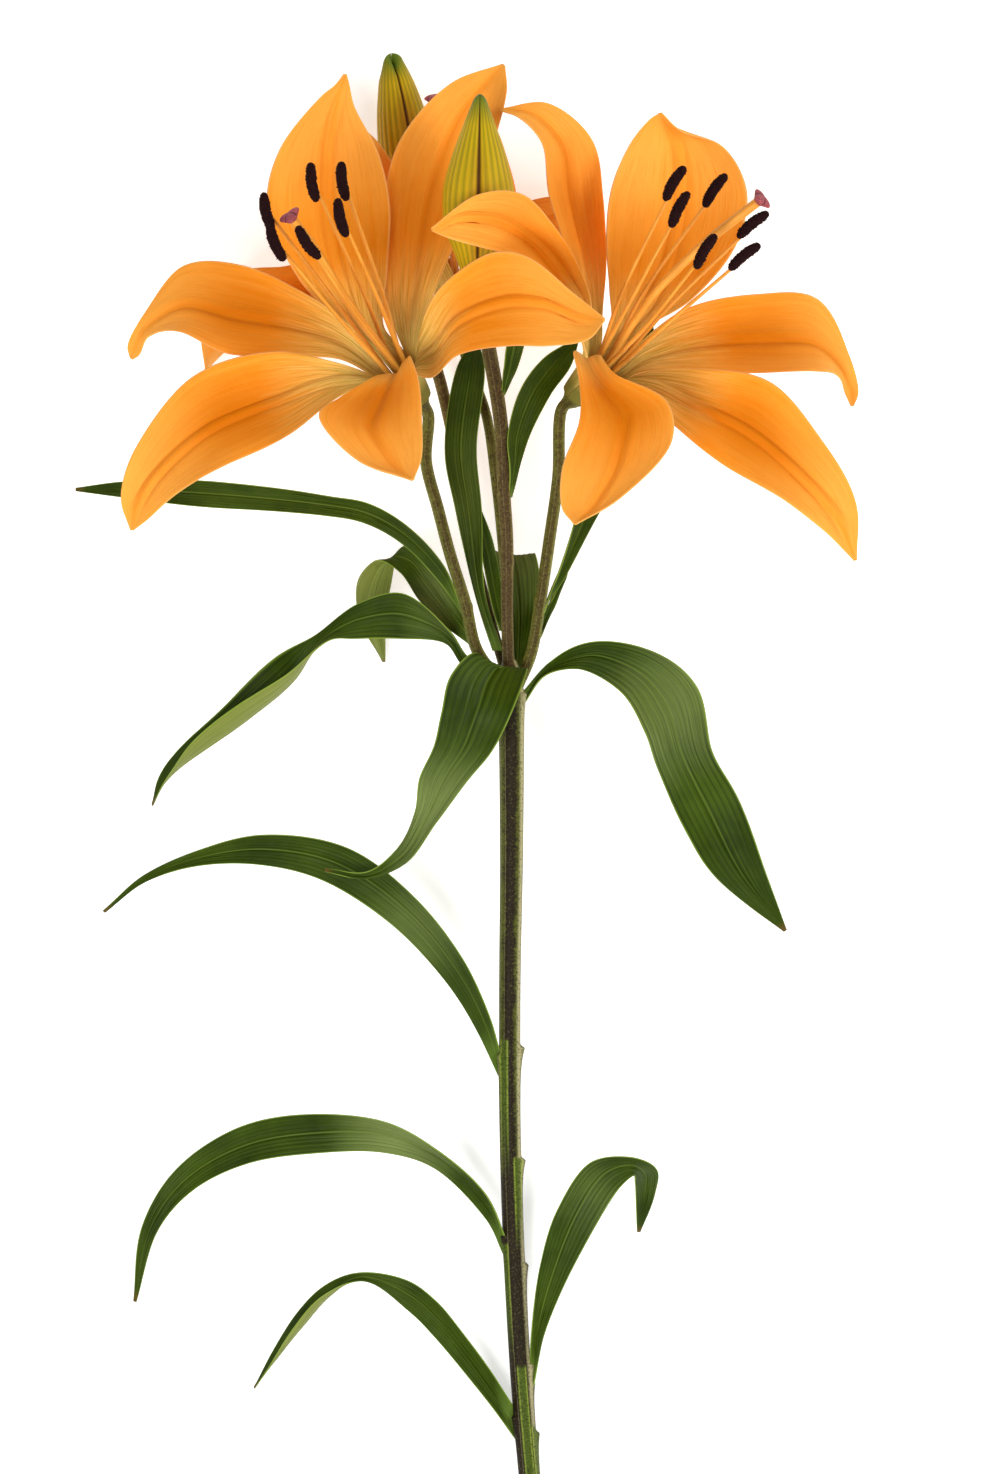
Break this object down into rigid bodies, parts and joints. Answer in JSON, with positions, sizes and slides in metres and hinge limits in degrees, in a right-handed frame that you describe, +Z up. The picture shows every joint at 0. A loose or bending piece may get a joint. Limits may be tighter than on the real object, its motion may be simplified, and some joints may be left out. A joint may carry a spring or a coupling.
{
  "type": "cut lily",
  "caption": "Cut lily stem lying down, with wide open trumpet flowers, buds, a whorl of leaves under the flowers and arching leaves along the stem.",
  "frame": {"origin": "middle of the bottom of the bounding box, on the surface that the cut lily lies on", "axes": "+Y up the stem from the cut end to the flowers, +X to the right, +Z up, away from the surface"},
  "size_m": [0.262, 0.5208, 0.1386],
  "materials": {
    "petal": "satin waxy petal, orange with fine lengthwise veins",
    "leaf": "satin waxy leaf, dark green with parallel veins",
    "stem": "satin green stem flushed brown-purple",
    "bud": "satin yellow-green bud with olive ribs",
    "anther": "matt grainy dark maroon pollen on a smooth orange filament",
    "style": "smooth orange style with a plum stigma"
  },
  "bodies": {
    "root": {"stem": "stem", "left_flower_tepal_front": "petal", "left_flower_tepal_right": "petal", "left_flower_tepal_upper_right": "petal", "left_flower_tepal_upper_left": "petal", "left_flower_tepal_left": "petal", "left_flower_tepal_lower_left": "petal", "right_flower_tepal_front": "petal", "right_flower_tepal_lower_right": "petal", "right_flower_tepal_right": "petal", "right_flower_tepal_upper_right": "petal", "right_flower_tepal_upper_left": "petal", "right_flower_tepal_left": "petal", "back_flower_tepal_upper_right": "petal", "back_flower_tepal_right": "petal", "back_flower_tepal_back_right": "petal", "back_flower_tepal_back_left": "petal", "back_flower_tepal_left": "petal", "back_flower_tepal_upper_left": "petal", "left_flower_stamen_1": "anther", "left_flower_stamen_2": "anther", "left_flower_stamen_3": "anther", "left_flower_stamen_4": "anther", "left_flower_stamen_5": "anther", "left_flower_stamen_6": "anther", "left_flower_pistil": "style", "right_flower_stamen_1": "anther", "right_flower_stamen_2": "anther", "right_flower_stamen_3": "anther", "right_flower_stamen_4": "anther", "right_flower_stamen_5": "anther", "right_flower_stamen_6": "anther", "right_flower_pistil": "style", "back_flower_stamen_1": "anther", "back_flower_stamen_2": "anther", "back_flower_stamen_3": "anther", "back_flower_stamen_4": "anther", "back_flower_stamen_5": "anther", "back_flower_stamen_6": "anther", "back_flower_pistil": "style", "centre_bud": "bud", "back_bud": "bud", "stem_leaf_bottom_left": "leaf", "stem_leaf_lower_left": "leaf", "stem_leaf_lower_right": "leaf", "stem_leaf_mid_left": "leaf", "whorl_leaf_left": "leaf", "whorl_leaf_front": "leaf", "whorl_leaf_right": "leaf", "stalk_leaf_long_left": "leaf", "whorl_leaf_back_left": "leaf", "whorl_leaf_upright_left": "leaf", "whorl_leaf_narrow": "leaf", "whorl_leaf_back": "leaf", "stalk_leaf_right": "leaf", "stalk_bract_right": "leaf", "stalk_bract_centre": "leaf", "stalk_bract_top": "leaf"}
  },
  "joints": []
}
